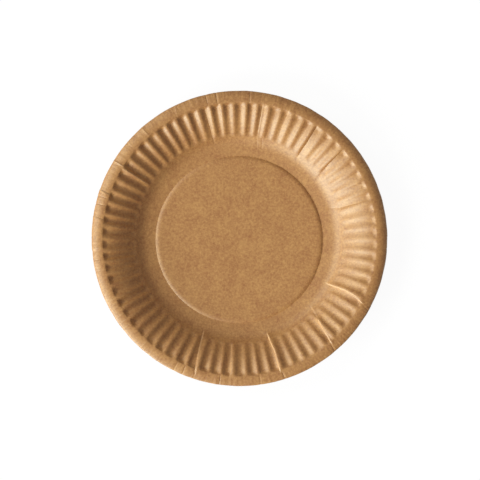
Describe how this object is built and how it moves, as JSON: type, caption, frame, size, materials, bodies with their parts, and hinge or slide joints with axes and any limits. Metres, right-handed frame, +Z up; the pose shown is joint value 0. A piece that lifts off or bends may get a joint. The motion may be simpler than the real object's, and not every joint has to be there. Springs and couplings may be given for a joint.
{
  "type": "paper plate",
  "caption": "Round disposable plate pressed from brown kraft board, with a raised centre, a fluted sloping wall and a rolled-down rim, for serving food.",
  "frame": {"origin": "on the plate's axis, at the level of the surface it rests on", "axes": "+Z up along the plate's axis, out of the eating side; +X through the crest of one flute; +Y completes the right-handed frame"},
  "size_m": [0.18, 0.18, 0.0145],
  "materials": {
    "kraft_board": "satin"
  },
  "bodies": {
    "root": {"plate": "kraft_board"}
  },
  "joints": []
}
